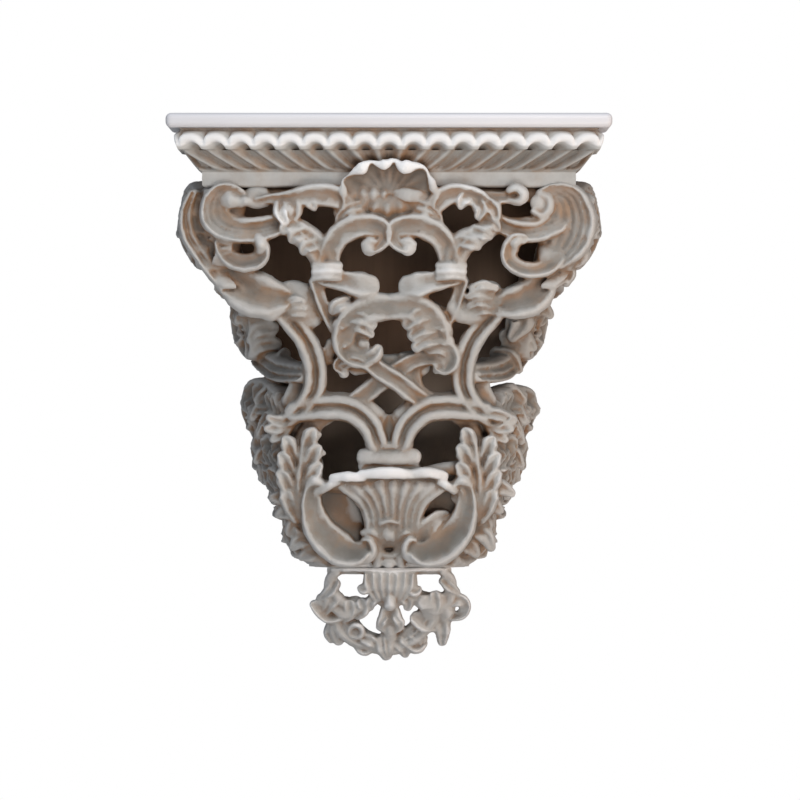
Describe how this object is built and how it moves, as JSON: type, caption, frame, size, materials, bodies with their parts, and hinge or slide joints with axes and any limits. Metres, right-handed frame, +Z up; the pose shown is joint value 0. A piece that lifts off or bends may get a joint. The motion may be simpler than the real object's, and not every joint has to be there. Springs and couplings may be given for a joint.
{
  "type": "carved wall bracket",
  "caption": "Pierced rococo wall bracket with scrolls, shell and pendant, hung flat on a wall to carry a clock, vase or bust on its top board.",
  "frame": {"origin": "on the flat back of the back board, on the centre line and half-way up the bracket, where it lies on the wall", "axes": "+Z up, -Y is the carved front, +Y points into the wall, +X to the right as seen from the front"},
  "size_m": [0.445, 0.254, 0.5539],
  "materials": {
    "painted_board": "smooth cool white satin paint",
    "painted_carving": "worn off-white paint with brown wash in the hollows",
    "stained_back": "dark brown stain, matt"
  },
  "bodies": {
    "root": {"top_board": "painted_board", "cornice": "painted_carving", "carved_body": "painted_carving", "pendant": "painted_carving", "back_board": "stained_back"}
  },
  "joints": []
}
